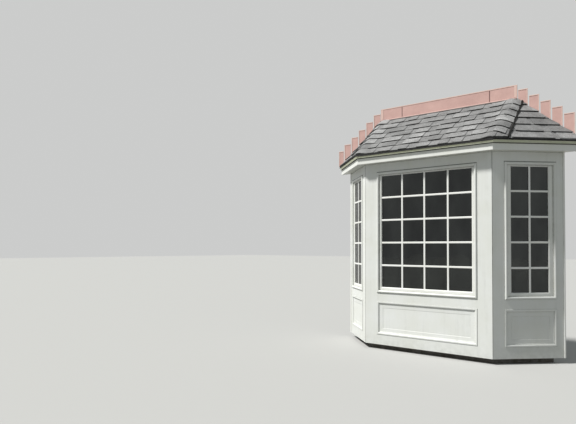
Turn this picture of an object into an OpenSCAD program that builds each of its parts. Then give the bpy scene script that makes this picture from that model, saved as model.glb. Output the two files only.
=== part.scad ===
// Canted bay window of painted timber with a hipped shingle roof, standing against a house wall.
// The wall plane is y = 0, the ground is z = 0, and the bay comes out towards -y.

/* [Plan] */
// Width of the front face between its two corners
face_w = 1590; // [1440:10:2400]
// How far the front face stands out from the wall
projection = 590; // [520:10:800]
// Angle between the front face and each side face
cant_angle = 45; // [40:1:50]

/* [Heights] */
// Height of the gap under the skirt boards
skirt_z = 60; // [30:5:90]
// Skirt board below the panels
skirt_h = 127; // [100:1:200]
// Panel with its moulding
panel_h = 408; // [300:1:600]
// Rail between panel and window
rail_h = 109; // [80:1:200]
// Window unit over its casing
unit_h = 1505; // [1200:5:1800]
// Frieze between window and soffit
frieze_h = 113; // [80:1:220]

/* [Base and floor] */
// Height of the concrete plinth
plinth_h = 110; // [100:5:160]
// How far the plinth stands back behind the outer boards
plinth_back = 85; // [50:5:120]
// Depth of the timber floor platform
platform_h = 172; // [140:2:240]
// Thickness of the floor boards
floor_t = 18; // [12:1:30]

/* [Walls and boards] */
// Thickness of the timber wall behind the outer boards
wall_t = 85; // [70:5:85]
// Thickness of the outer boards
board_t = 20; // [16:1:30]
// Thickness of the flat panels under the windows
panel_t = 8; // [6:0.5:10]
// Width of the moulding around each panel
panel_mould_w = 80; // [50:1:110]
// How far the panel moulding stands out from the boards
panel_mould_out = 5; // [3:0.5:12]
// Width of the quarter round in the panel moulding
panel_round_w = 14; // [8:1:20]
// Width of the front board at each corner
corner_front_w = 167; // [100:1:220]
// Width of the side board at each corner
corner_side_w = 140; // [110:1:200]
// Width of the board against the wall at each end
end_w = 98; // [90:1:150]
// Width of the open joint between the two boards of a corner
corner_joint = 5; // [2:0.5:8]

/* [Windows] */
// Width of the outer casing
casing_w = 30; // [24:1:50]
// How far the casings and panel mouldings lap over the boards
lap = 12; // [6:1:16]
// How far the outer casing stands out from the boards
casing_out = 15; // [8:1:24]
// Thickness of the window frame
jamb_t = 22; // [18:1:30]
// Width of the front sash stiles
front_stile = 28; // [24:1:60]
// Width of the side sash stiles
side_stile = 48; // [24:1:70]
// Height of the sash top rail
top_rail = 15; // [15:1:60]
// Height of the sash bottom rail
bottom_rail = 38; // [24:1:90]
// Thickness of the sashes
sash_t = 36; // [30:1:45]
// How far the sash face sits back from the board face
sash_back = 8; // [4:1:20]
// Thickness of the glass
glass_t = 4; // [3:0.5:6]
// How deep the glass sits in the sash
glass_in = 7; // [5:0.5:8]
// Width of the casing inside the room
inner_casing_w = 60; // [40:1:65]
// Thickness of the casing inside the room
inner_casing_t = 15; // [10:1:20]

/* [Ceiling and plates] */
// Ceiling above the top of the window unit
ceiling_up = 61; // [50:1:120]
// Thickness of the ceiling board
ceiling_t = 18; // [12:1:30]
// Thickness of the top plate
plate_t = 38; // [30:1:50]

/* [Roof] */
// How far the shingles reach past the boards at the eave
eave_out = 145; // [120:1:200]
// Height of the shingle edge above the soffit
eave_up = 115; // [110:1:160]
// Rise of the roof from the eave to the wall
roof_rise = 583; // [520:1:800]
// How far the hips meet the wall past the corners of the front face
hip_past = 80; // [0:5:150]
// Thickness of the shingle layers, measured upright
shingle_t = 12; // [8:1:20]
// Thickness of the roof boarding, measured upright
sheath_t = 15; // [12:1:20]
// Thickness of the shingles bent over a hip
bend_t = 10; // [8:1:14]
// Where the bent shingles start on the front slope, measured from the hip
bend_front = 150; // [90:5:250]
// Where the bent shingles end on the side slope at the eave, measured from the hip
bend_side_low = 134; // [80:1:180]
// Where they end at the wall
bend_side_high = 80; // [75:1:140]
// Width of rafters and ledger
rafter_w = 38; // [30:1:50]
// Depth of the front rafters, measured upright
rafter_h = 113; // [100:1:118]
// Depth of the side rafters, measured upright
jack_h = 125; // [100:1:130]
// Depth of the ledger
ledger_h = 140; // [100:5:170]
// Spacing of the front rafters
rafter_pitch = 406; // [300:2:600]

/* [Eave] */
// Distance of the fascia face from the boards
fascia_out = 115; // [90:1:118]
// Thickness of the fascia board
fascia_t = 18; // [12:1:25]
// Height of the fascia board
fascia_h = 84; // [70:1:90]
// How far the fascia hangs below the soffit
fascia_drop = 5; // [2:1:15]
// Thickness of the soffit board
soffit_t = 10; // [6:1:14]
// Height of the drip edge strip
drip_h = 30; // [20:1:36]
// How far the drip edge stands out from the fascia
drip_out = 15; // [8:1:20]

/* [Flashing] */
// Thickness of the sheet metal
sheet_t = 2; // [1:0.5:4]
// Height of the apron flashing on the wall
apron_h = 150; // [100:5:200]
// Width of the apron leg that lies on the shingles
apron_leg = 34; // [20:1:60]
// How far the apron runs past each end of the front slope
apron_past = 23; // [10:1:60]
// Width of one piece of stepped flashing with its gap
step_pitch = 121; // [90:1:140]
// Gap between two pieces of stepped flashing
step_gap = 15; // [4:1:20]
// Height of the first piece above the shingles at its upper edge
step_h = 113; // [90:1:160]
// How much taller each piece is than the one above it
step_grow = 10; // [0:1:14]

/* [Hidden] */

paint = "#dcdcd6";
timber = "#b08a5e";
concrete = "#8f8c86";
pane = "#3c4348";
roofing = "#7d7a76";
boarding = "#b59a72";
copper = "#b78f80";
plaster = "#d8d4ca";

// heights, from the ground up
panel_z = skirt_z + skirt_h;
unit_z = panel_z + panel_h + rail_h;
unit_top = unit_z + unit_h;
soffit_z = unit_top + frieze_h;
eave_z = soffit_z + eave_up;
roof_top_z = eave_z + roof_rise;
platform_z = plinth_h;
floor_z = platform_z + platform_h + floor_t;
ceiling_z = unit_top + ceiling_up;

// plan
half = face_w / 2;
wall_half = half + projection / tan(cant_angle);
cant_len = projection / sin(cant_angle);
front_unit_w = face_w - 2 * corner_front_w;
side_unit_w = cant_len - corner_side_w - end_w;
side_mid = (corner_side_w + cant_len - end_w) / 2;
inside = board_t + wall_t;
roof_half = half + hip_past;

// The bay outline moved outwards by off, as four points from the left wall end to the right one.
function corner_x(off) = half + off * tan(cant_angle / 2);
function end_x(off) = wall_half + off / sin(cant_angle);
function outline(off) = [
  [-end_x(off), 0],
  [-corner_x(off), -projection - off],
  [corner_x(off), -projection - off],
  [end_x(off), 0]
];
function back(list) = [for (i = [len(list) - 1:-1:0]) list[i]];

// A point on the right side face, s along it from the corner and d behind it.
function side_pt(s, d) = [
  half + s * cos(cant_angle) - d * sin(cant_angle),
  -projection + s * sin(cant_angle) + d * cos(cant_angle)
];
function flip(list) = [for (p = list) [-p[0], p[1]]];

// Shingle surface over the front and side slopes, by distance from the board face.
pitch_front = roof_rise / (projection + eave_out);
top_off = (roof_half - wall_half) * sin(cant_angle);
pitch_side = roof_rise / (eave_out - top_off);
function front_surf(off) = eave_z + (eave_out - off) * pitch_front;
function side_surf(off) = eave_z + (eave_out - off) * pitch_side;
deep = shingle_t + sheath_t;
tail_off = fascia_out - fascia_t;
soffit_top = soffit_z + soffit_t;
jack_seat = 12;
function jack_bottom(off) = side_surf(off) - deep - jack_h;
plate_top = jack_bottom(-board_t - jack_seat);
wall_top = plate_top - plate_t;

// Pieces of one face, drawn with x along the face, y going in from the board face and z up.
module on_front() {
  translate([0, -projection, 0]) children();
}
module on_right() {
  translate([half, -projection, 0]) rotate(cant_angle) translate([side_mid, 0, 0]) children();
}
module on_left() {
  translate([-half, -projection, 0]) rotate(-cant_angle) translate([-side_mid, 0, 0]) children();
}

// One straight run of the outline between two offsets: 0 left, 1 front, 2 right.
module run(i, out, inn, z0, z1) {
  a = outline(out);
  b = outline(inn);
  translate([0, 0, z0]) linear_extrude(z1 - z0) polygon([a[i], a[i + 1], b[i + 1], b[i]]);
}
// The same around the whole bay, as one mitred piece.
module band(out, inn, z0, z1) {
  translate([0, 0, z0]) linear_extrude(z1 - z0) polygon(concat(outline(out), back(outline(inn))));
}
// The whole plan up to one offset.
module slab(off, z0, z1) {
  translate([0, 0, z0]) linear_extrude(z1 - z0) polygon(outline(off));
}
// A moulding that runs around the bay: its profile is a list of [offset, height] points.
module bay_moulding(profile) {
  n = len(profile);
  pts = [for (p = profile, q = outline(p[0])) [q[0], q[1], p[1]]];
  sides = [for (k = [0:n - 1], i = [0:2]) let (m = (k + 1) % n)
    [4 * k + i, 4 * k + i + 1, 4 * m + i + 1, 4 * m + i]];
  ends = [[for (k = [n - 1:-1:0]) 4 * k + 3], [for (k = [0:n - 1]) 4 * k]];
  polyhedron(pts, concat(sides, ends));
}
// A mitred frame around a rectangle: each ring is [half width, lower z, upper z, depth].
module mitred_frame(rings) {
  n = len(rings);
  pts = [for (r = rings)
    each [[-r[0], r[3], r[1]], [r[0], r[3], r[1]], [r[0], r[3], r[2]], [-r[0], r[3], r[2]]]];
  faces = [for (k = [0:n - 1], i = [0:3]) let (m = (k + 1) % n, j = (i + 1) % 4)
    [4 * k + i, 4 * m + i, 4 * m + j, 4 * k + j]];
  polyhedron(pts, faces);
}
// Ends a piece at the plane of the wall.
module up_to_wall() {
  intersection() {
    children();
    slab(0, 0, roof_top_z);
  }
}
// A ring moved in from a rectangle of half width w and heights z0 and z1 by one amount.
function inset(w, z0, z1, by, depth) = [w - by, z0 + by, z1 - by, depth];

// Base and floor
module plinth() {
  color(concrete) slab(-plinth_back, 0, plinth_h);
}
module floor_platform() {
  color(timber) slab(-board_t, platform_z, platform_z + platform_h);
}
module floor_boards() {
  color(timber) slab(-board_t, platform_z + platform_h, floor_z);
}

// Timber walls with a rough opening for each window frame
module rough_opening(unit_w) {
  translate([-unit_w / 2 + lap, board_t - 1, unit_z + lap])
    cube([unit_w - 2 * lap, wall_t + 2, unit_h - 2 * lap]);
}
module wall_front() {
  color(plaster) difference() {
    run(1, -board_t, -inside, floor_z, wall_top);
    on_front() rough_opening(front_unit_w);
  }
}
module wall_right() {
  color(plaster) difference() {
    run(2, -board_t, -inside, floor_z, wall_top);
    on_right() rough_opening(side_unit_w);
  }
}
module wall_left() {
  color(plaster) difference() {
    run(0, -board_t, -inside, floor_z, wall_top);
    on_left() rough_opening(side_unit_w);
  }
}

// Upright boards: a mitred pair with an open joint at each corner, one against the wall at each end
front_edge = front_unit_w / 2 - lap;
side_edge_a = side_mid - side_unit_w / 2 + lap;
side_edge_b = side_mid + side_unit_w / 2 - lap;
inner_corner = outline(-board_t)[2];
inner_end = outline(-board_t)[3];
corner_plan = [
  [front_edge, -projection], [half - corner_joint / 2, -projection],
  outline(-board_t / 2)[2],
  side_pt(corner_joint / 2, 0), side_pt(side_edge_a, 0),
  side_pt(side_edge_a, board_t), inner_corner, [front_edge, -projection + board_t]
];
end_plan = [side_pt(side_edge_b, 0), [wall_half, 0], inner_end, side_pt(side_edge_b, board_t)];
module upright(plan) {
  color(paint) translate([0, 0, skirt_z]) linear_extrude(soffit_z - skirt_z) polygon(plan);
}
module corner_board_right() {
  upright(corner_plan);
}
module corner_board_left() {
  upright(flip(corner_plan));
}
module end_board_right() {
  upright(end_plan);
}
module end_board_left() {
  upright(flip(end_plan));
}

// Level boards between the uprights
module level_board(unit_w, z0, z1) {
  translate([-unit_w / 2 + lap, 0, z0]) cube([unit_w - 2 * lap, board_t, z1 - z0]);
}
module level_boards(z0, z1) {
  color(paint) {
    on_front() level_board(front_unit_w, z0, z1);
    on_left() level_board(side_unit_w, z0, z1);
    on_right() level_board(side_unit_w, z0, z1);
  }
}
module skirt_boards() {
  level_boards(skirt_z, panel_z + lap);
}
module middle_rails() {
  level_boards(panel_z + panel_h - lap, unit_z + lap);
}
module frieze_boards() {
  level_boards(unit_top - lap, soffit_z);
}

// Flat panels under the windows, each with a moulding planted on it
module panel(unit_w) {
  color(paint) translate([-unit_w / 2 + lap, board_t - panel_t, panel_z + lap])
    cube([unit_w - 2 * lap, panel_t, panel_h - 2 * lap]);
}
// It laps over the boards, turns in with a quarter round and ends in a wide, nearly flat field.
module panel_moulding(unit_w) {
  w = unit_w / 2;
  z0 = panel_z;
  z1 = panel_z + panel_h;
  bed = board_t - panel_t;
  lip = -panel_mould_out;
  foot = lap + panel_round_w;
  color(paint) mitred_frame([
    inset(w, z0, z1, 0, 0),
    inset(w, z0, z1, 0, lip + 1.5),
    inset(w, z0, z1, 1.5, lip),
    for (a = [0:18:90])
      inset(w, z0, z1, lap + panel_round_w * sin(a), lip + (bed / 2 - lip) * (1 - cos(a))),
    inset(w, z0, z1, foot + 7, bed / 2),
    inset(w, z0, z1, foot + 10, 0.75 * bed),
    inset(w, z0, z1, panel_mould_w - 3, 0.88 * bed),
    inset(w, z0, z1, panel_mould_w, bed),
    inset(w, z0, z1, lap, bed),
    inset(w, z0, z1, lap, 0)
  ]);
}
module panel_front() {
  on_front() panel(front_unit_w);
}
module panel_left() {
  on_left() panel(side_unit_w);
}
module panel_right() {
  on_right() panel(side_unit_w);
}
module panel_moulding_front() {
  on_front() panel_moulding(front_unit_w);
}
module panel_moulding_left() {
  on_left() panel_moulding(side_unit_w);
}
module panel_moulding_right() {
  on_right() panel_moulding(side_unit_w);
}

// Window frame through the wall, with stops that the sash closes against
stop_y = sash_back + sash_t;
stop_in = 10;
module window_frame(unit_w) {
  w = unit_w / 2 - lap;
  z0 = unit_z + lap;
  z1 = unit_top - lap;
  color(paint) mitred_frame([
    inset(w, z0, z1, 0, 0),
    inset(w, z0, z1, jamb_t, 0),
    inset(w, z0, z1, jamb_t, stop_y),
    inset(w, z0, z1, jamb_t + stop_in, stop_y),
    inset(w, z0, z1, jamb_t + stop_in, stop_y + 12),
    inset(w, z0, z1, jamb_t, stop_y + 12),
    inset(w, z0, z1, jamb_t, inside),
    inset(w, z0, z1, 0, inside)
  ]);
}
module window_frame_front() {
  on_front() window_frame(front_unit_w);
}
module window_frame_left() {
  up_to_wall() on_left() window_frame(side_unit_w);
}
module window_frame_right() {
  up_to_wall() on_right() window_frame(side_unit_w);
}

// Sash with a moulded inner edge and a groove for the glass
glass_y = sash_back + sash_t / 2 - glass_t / 2;
module sash(unit_w, stile) {
  w = unit_w / 2 - lap - jamb_t;
  z0 = unit_z + lap + jamb_t;
  z1 = unit_top - lap - jamb_t;
  gw = w - stile;
  g0 = z0 + bottom_rail;
  g1 = z1 - top_rail;
  color(paint) mitred_frame([
    inset(w, z0, z1, 0, sash_back),
    inset(gw, g0, g1, -10, sash_back),
    inset(gw, g0, g1, -8, sash_back + 3),
    inset(gw, g0, g1, -3, sash_back + 5),
    inset(gw, g0, g1, -0.5, sash_back + 10),
    inset(gw, g0, g1, 0, glass_y),
    inset(gw, g0, g1, -glass_in, glass_y),
    inset(gw, g0, g1, -glass_in, glass_y + glass_t),
    inset(gw, g0, g1, 0, glass_y + glass_t),
    inset(gw, g0, g1, -6, sash_back + sash_t),
    inset(w, z0, z1, 0, sash_back + sash_t)
  ]);
}
module sash_front() {
  on_front() sash(front_unit_w, front_stile);
}
module sash_left() {
  on_left() sash(side_unit_w, side_stile);
}
module sash_right() {
  on_right() sash(side_unit_w, side_stile);
}

// One sheet of glass for each sash, in its groove
module glass(unit_w, stile) {
  w = unit_w / 2 - lap - jamb_t - stile + glass_in;
  z0 = unit_z + lap + jamb_t + bottom_rail - glass_in;
  z1 = unit_top - lap - jamb_t - top_rail + glass_in;
  color(pane) translate([-w, glass_y, z0]) cube([2 * w, glass_t, z1 - z0]);
}
module glass_front() {
  on_front() glass(front_unit_w, front_stile);
}
module glass_left() {
  on_left() glass(side_unit_w, side_stile);
}
module glass_right() {
  on_right() glass(side_unit_w, side_stile);
}

// Outer casing: a half round bead mitred around the window
module casing(unit_w) {
  color(paint) mitred_frame([
    for (a = [0:15:180])
      inset(unit_w / 2, unit_z, unit_top, casing_w / 2 * (1 - cos(a)), -casing_out * sin(a))
  ]);
}
module casing_front() {
  on_front() casing(front_unit_w);
}
module casing_left() {
  on_left() casing(side_unit_w);
}
module casing_right() {
  on_right() casing(side_unit_w);
}

// Plain casing around each window inside the room
module inner_casing(unit_w) {
  w = unit_w / 2 - lap - jamb_t + 4;
  z0 = unit_z + lap + jamb_t - 4;
  z1 = unit_top - lap - jamb_t + 4;
  color(paint) mitred_frame([
    inset(w, z0, z1, 0, inside),
    inset(w, z0, z1, 0, inside + 0.6 * inner_casing_t),
    inset(w, z0, z1, -4, inside + 0.75 * inner_casing_t),
    inset(w, z0, z1, 6 - inner_casing_w, inside + inner_casing_t),
    inset(w, z0, z1, -inner_casing_w, inside + 0.7 * inner_casing_t),
    inset(w, z0, z1, -inner_casing_w, inside)
  ]);
}
module inner_casing_front() {
  on_front() inner_casing(front_unit_w);
}
module inner_casing_left() {
  up_to_wall() on_left() inner_casing(side_unit_w);
}
module inner_casing_right() {
  up_to_wall() on_right() inner_casing(side_unit_w);
}

// Ceiling, top plate and eave
module ceiling() {
  color(plaster) slab(-inside, ceiling_z, ceiling_z + ceiling_t);
}
module top_plate() {
  color(timber) band(-board_t, -inside, wall_top, plate_top);
}
module soffit() {
  color(paint) band(tail_off, -board_t, soffit_z, soffit_top);
}
module fascia() {
  color(paint) band(fascia_out, tail_off, soffit_z - fascia_drop, soffit_z - fascia_drop + fascia_h);
}
drip_top = soffit_z + eave_up - shingle_t;
module drip_edge() {
  o = fascia_out;
  color(paint) bay_moulding([
    [o, drip_top - drip_h],
    [o + 0.4 * drip_out, drip_top - drip_h],
    [o + 0.55 * drip_out, drip_top - 0.6 * drip_h],
    [o + 0.9 * drip_out, drip_top - 0.35 * drip_h],
    [o + drip_out, drip_top - 0.25 * drip_h],
    [o + drip_out, drip_top],
    [o, drip_top]
  ]);
}

// Roof frame: ledger on the wall, front rafters, a hip rafter to each corner, side rafters
module ledger() {
  color(timber) translate([-roof_half + rafter_w, 0, 0]) rotate([90, 0, 90])
    linear_extrude(2 * (roof_half - rafter_w)) polygon([
      [0, front_surf(-projection) - deep],
      [-rafter_w, front_surf(rafter_w - projection) - deep],
      [-rafter_w, front_surf(rafter_w - projection) - deep - ledger_h],
      [0, front_surf(rafter_w - projection) - deep - ledger_h]
    ]);
}
// Outline of a rafter from its tail to its upper end, by offset from the board face.
function rafter_side(up_off, surf_tail, pitch, depth) = let (
  top = function(off) surf_tail + (tail_off - off) * pitch,
  seat = tail_off - (plate_top + depth - surf_tail) / pitch
) [
  [up_off, top(up_off)], [tail_off, top(tail_off)],
  [tail_off, max(top(tail_off) - depth, soffit_top)],
  [-board_t, max(top(-board_t) - depth, soffit_top)], [-board_t, plate_top],
  [seat, plate_top], [up_off, top(up_off) - depth]
];
module common_rafter(x) {
  side = rafter_side(rafter_w - projection, front_surf(tail_off) - deep, pitch_front, rafter_h);
  translate([x - rafter_w / 2, 0, 0]) rotate([90, 0, 90])
    linear_extrude(rafter_w) polygon([for (p = side) [-projection - p[0], p[1]]]);
}
hip_run = [roof_half - corner_x(eave_out), projection + eave_out];
hip_stretch = norm(hip_run) / hip_run[1];
hip_drop = rafter_w / 2 * pitch_side * 0.75;
module hip_rafter() {
  side = rafter_side(rafter_w - projection, front_surf(tail_off) - deep - hip_drop,
    pitch_front, rafter_h - hip_drop);
  intersection() {
    translate([roof_half, 0, 0]) rotate(-atan2(hip_run[0], hip_run[1]))
      translate([-rafter_w / 2, 0, 0]) rotate([90, 0, 90]) linear_extrude(rafter_w)
        polygon([for (p = side) [(-projection - p[0]) * hip_stretch, p[1]]]);
    slab(tail_off, 0, roof_top_z);
  }
}
module side_rafter(s) {
  to_wall = (projection - s * sin(cant_angle) - rafter_w / 2 * sin(cant_angle)) / cos(cant_angle);
  to_hip = (half + s * cos(cant_angle) - roof_half - rafter_w * 1.2) / sin(cant_angle);
  side = rafter_side(-min(to_wall, to_hip), side_surf(tail_off) - deep, pitch_side, jack_h);
  translate([half, -projection, 0]) rotate(cant_angle) translate([s - rafter_w / 2, 0, 0])
    rotate([90, 0, 90]) linear_extrude(rafter_w) polygon([for (p = side) [-p[0], p[1]]]);
}
common_n = floor((roof_half - 2 * rafter_w) / rafter_pitch);
module rafters() {
  color(timber) {
    for (i = [-common_n:common_n]) common_rafter(i * rafter_pitch);
    for (m = [0, 1]) mirror([m, 0, 0]) {
      hip_rafter();
      side_rafter(0.5 * cant_len);
      side_rafter(0.75 * cant_len);
    }
  }
}

// One slope between two depths below the shingle surface: 0 left, 1 front, 2 right.
function slope_plan(i, off) = let (
  c = [corner_x(off), -projection - off],
  e = [end_x(off), 0],
  t = [roof_half, 0]
) i == 1 ? [flip([c])[0], c, t, flip([t])[0]] : i == 2 ? [c, e, t] : [flip([e])[0], flip([c])[0], flip([t])[0]];
function slope_z(i, k, off) = (i == 1 && k >= 2) || (i != 1 && k == 2) ? roof_top_z : front_surf(off);
module slope(i, off, up, down) {
  plan = slope_plan(i, eave_out);
  n = len(plan);
  pts = concat(
    [for (k = [0:n - 1]) [plan[k][0], plan[k][1], slope_z(i, k, eave_out) - down]],
    [for (k = [0:n - 1]) [plan[k][0], plan[k][1], slope_z(i, k, eave_out) - up]]
  );
  sides = [for (k = [0:n - 1]) let (m = (k + 1) % n) [k, k + n, m + n, m]];
  intersection() {
    polyhedron(pts, concat([[for (k = [0:n - 1]) k]], [[for (k = [n - 1:-1:0]) k + n]], sides));
    slab(off, soffit_z, roof_top_z + apron_h);
  }
}
module roof_boarding() {
  color(boarding) for (i = [0:2]) slope(i, fascia_out + 3, shingle_t, deep);
}
module shingles_front() {
  color(roofing) slope(1, eave_out, 0, shingle_t);
}
module shingles_left() {
  color(roofing) slope(0, eave_out, 0, shingle_t);
}
module shingles_right() {
  color(roofing) slope(2, eave_out, 0, shingle_t);
}

// The front shingles bent over each hip. A section square to the hip is rounded on top and lies on both
// slopes below. It starts thin on the front slope and ends in a cut edge on the side slope.
function unit(v) = v / norm(v);
hip_foot = [corner_x(eave_out), -projection - eave_out, eave_z];
hip_head = [roof_half, 0, roof_top_z];
hip_axis = unit(hip_head - hip_foot);
front_normal = unit([0, -pitch_front, 1]);
side_normal = unit([pitch_side * sin(cant_angle), -pitch_side * cos(cant_angle), 1]);
to_front = cross(front_normal, hip_axis);
to_side = cross(hip_axis, side_normal);
bend_len = 5 * bend_t;
bend_steps = 6;
function bend_section(t) = let (
  h = hip_foot + t * (hip_head - hip_foot),
  front_end = h + bend_front * to_front,
  side_end = h + (bend_side_low + t * (bend_side_high - bend_side_low)) * to_side,
  a = h + bend_len * to_front + bend_t * front_normal,
  b = h + bend_t / (1 + front_normal * side_normal) * (front_normal + side_normal),
  c = h + bend_len * to_side + bend_t * side_normal
) [
  front_end, front_end + 0.3 * bend_t * front_normal,
  for (k = [0:bend_steps]) let (u = k / bend_steps) (1 - u) * (1 - u) * a + 2 * u * (1 - u) * b + u * u * c,
  side_end + bend_t * side_normal, side_end, h
];
module hip_shingles() {
  low = bend_section(-0.3);
  high = bend_section(1.2);
  n = len(low);
  apron_end = roof_half + apron_past;
  intersection() {
    polyhedron(concat(low, high), concat(
      [for (k = [0:n - 1]) let (m = (k + 1) % n) [k, n + k, n + m, m]],
      [[for (k = [0:n - 1]) k], [for (k = [n - 1:-1:0]) n + k]]
    ));
    translate([0, 0, soffit_z]) linear_extrude(roof_top_z + apron_h - soffit_z) polygon([
      [0, -apron_leg], [0, -projection - eave_out], outline(eave_out)[2],
      [end_x(eave_out) - sheet_t / tan(cant_angle), -sheet_t],
      [apron_end, -sheet_t], [apron_end, -apron_leg]
    ]);
  }
}
module hip_shingles_right() {
  color(roofing) hip_shingles();
}
module hip_shingles_left() {
  color(roofing) mirror([1, 0, 0]) hip_shingles();
}

// Sheet metal where the roof meets the wall
module apron_flashing() {
  z = roof_top_z;
  color(copper) translate([-roof_half - apron_past, 0, 0]) rotate([90, 0, 90])
    linear_extrude(2 * (roof_half + apron_past)) polygon([
      [0, z], [0, z + apron_h], [-sheet_t, z + apron_h], [-sheet_t, z + sheet_t],
      [-apron_leg, z - apron_leg * pitch_front + sheet_t], [-apron_leg, z - apron_leg * pitch_front]
    ]);
}
step_start = roof_half + apron_past + step_gap / 2;
step_end = end_x(eave_out);
step_n = ceil((step_end - step_start - 2 * step_gap) / step_pitch);
module step_flashing() {
  wall_z = function(x) side_surf((x - wall_half) * sin(cant_angle));
  for (k = [0:step_n - 1]) {
    a = step_start + k * step_pitch;
    b = min(a + step_pitch - step_gap, step_end);
    top = wall_z(a) + step_h + k * step_grow;
    rotate([90, 0, 0]) linear_extrude(sheet_t) polygon([[a, wall_z(a)], [b, wall_z(b)], [b, top], [a, top]]);
  }
}
module step_flashing_right() {
  color(copper) step_flashing();
}
module step_flashing_left() {
  color(copper) mirror([1, 0, 0]) step_flashing();
}

plinth();
floor_platform();
floor_boards();
wall_front();
wall_left();
wall_right();
corner_board_left();
corner_board_right();
end_board_left();
end_board_right();
skirt_boards();
middle_rails();
frieze_boards();
panel_front();
panel_left();
panel_right();
panel_moulding_front();
panel_moulding_left();
panel_moulding_right();
window_frame_front();
window_frame_left();
window_frame_right();
sash_front();
sash_left();
sash_right();
glass_front();
glass_left();
glass_right();
casing_front();
casing_left();
casing_right();
inner_casing_front();
inner_casing_left();
inner_casing_right();
ceiling();
top_plate();
ledger();
rafters();
soffit();
fascia();
drip_edge();
roof_boarding();
shingles_front();
shingles_left();
shingles_right();
hip_shingles_left();
hip_shingles_right();
apron_flashing();
step_flashing_left();
step_flashing_right();
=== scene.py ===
# A three-sided canted bay window of painted timber with a hipped shingle roof, dressed over its CAD frame.
import math
import random

import bpy
from mathutils import Matrix, Vector


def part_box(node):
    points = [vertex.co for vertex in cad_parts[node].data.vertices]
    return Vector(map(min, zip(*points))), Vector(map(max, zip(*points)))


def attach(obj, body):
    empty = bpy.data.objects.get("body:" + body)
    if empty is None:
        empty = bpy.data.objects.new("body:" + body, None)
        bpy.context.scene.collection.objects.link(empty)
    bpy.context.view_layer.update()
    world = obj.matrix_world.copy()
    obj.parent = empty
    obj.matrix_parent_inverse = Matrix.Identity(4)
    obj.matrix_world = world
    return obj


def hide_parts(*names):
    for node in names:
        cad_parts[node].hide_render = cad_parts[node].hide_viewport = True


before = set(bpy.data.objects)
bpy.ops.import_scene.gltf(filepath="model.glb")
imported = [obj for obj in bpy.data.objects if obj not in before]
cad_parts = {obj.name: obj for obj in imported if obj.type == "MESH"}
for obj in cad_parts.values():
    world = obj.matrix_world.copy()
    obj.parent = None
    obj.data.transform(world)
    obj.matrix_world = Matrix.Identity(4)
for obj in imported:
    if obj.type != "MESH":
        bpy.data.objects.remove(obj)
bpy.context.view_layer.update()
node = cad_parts

# ---- Concrete plinth -------------------------------------------------------------------------------------
# The bay's weight stands on a low cast concrete base, set back under the skirt so that it stays in shadow.
# Cast between boards on site, then left grey: blotchy, with small blow holes and soil splashed up by rain.


def put(tree, kind, values=None, **settings):
    """Adds one shader node, with its settings, and its sockets given a value or joined to another node."""
    made = tree.nodes.new("ShaderNode" + kind)
    for name, value in settings.items():
        setattr(made, name, value)
    for socket, value in (values or {}).items():
        if isinstance(value, bpy.types.NodeSocket):
            tree.links.new(value, made.inputs[socket])
        else:
            made.inputs[socket].default_value = value
    return made


def tint(tree, amount, first, second, way="MIX"):
    """Mixes two colours by an amount."""
    return put(tree, "Mix", {0: amount, 6: first, 7: second}, data_type="RGBA", blend_type=way).outputs[2]


def spread(tree, value, low, high, to_low=0.0, to_high=1.0):
    """Stretches a value from one range to another, and clips it."""
    return put(tree, "MapRange", {0: value, 1: low, 2: high, 3: to_low, 4: to_high}).outputs[0]


def vary(tree, noise, low, high):
    """Spreads a noise, nearly all of which lies between 0.3 and 0.7, over a range."""
    return spread(tree, noise, 0.3, 0.7, low, high)


def reckon(tree, first, second, way="MULTIPLY"):
    """Works on two values: multiplies them, or does what the way says."""
    return put(tree, "Math", {0: first, 1: second}, operation=way).outputs[0]


def grey(tree, tone):
    return put(tree, "CombineColor", {0: tone, 1: tone, 2: tone}).outputs[0]


def object_place(tree):
    return put(tree, "TexCoord").outputs["Object"]


def place_along(tree, axis):
    return put(tree, "SeparateXYZ", {0: object_place(tree)}).outputs[axis]


def grain_of(tree, scale, detail=4.0, rough=0.55, stretch=(1, 1, 1)):
    """Noise over the object's own place, stretched by a different amount along each axis."""
    turned = put(tree, "Mapping", {"Vector": object_place(tree), "Scale": stretch}).outputs[0]
    noise = {"Vector": turned, "Scale": scale, "Detail": detail, "Roughness": rough}
    return put(tree, "TexNoise", noise).outputs[0]


def effect(name, takes, gives):
    """Starts a shader group, with its inputs and outputs named."""
    tree = bpy.data.node_groups.new(name, "ShaderNodeTree")
    for label, start in takes.items():
        sort = "NodeSocketColor" if isinstance(start, tuple) else "NodeSocketFloat"
        tree.interface.new_socket(label, in_out="INPUT", socket_type=sort).default_value = start
    for label, sort in gives.items():
        tree.interface.new_socket(label, in_out="OUTPUT", socket_type="NodeSocket" + sort)
    return tree, tree.nodes.new("NodeGroupInput").outputs, tree.nodes.new("NodeGroupOutput").inputs


def group_in(tree, group, **values):
    return put(tree, "Group", {k.replace("_", " "): v for k, v in values.items()}, node_tree=group).outputs


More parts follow.
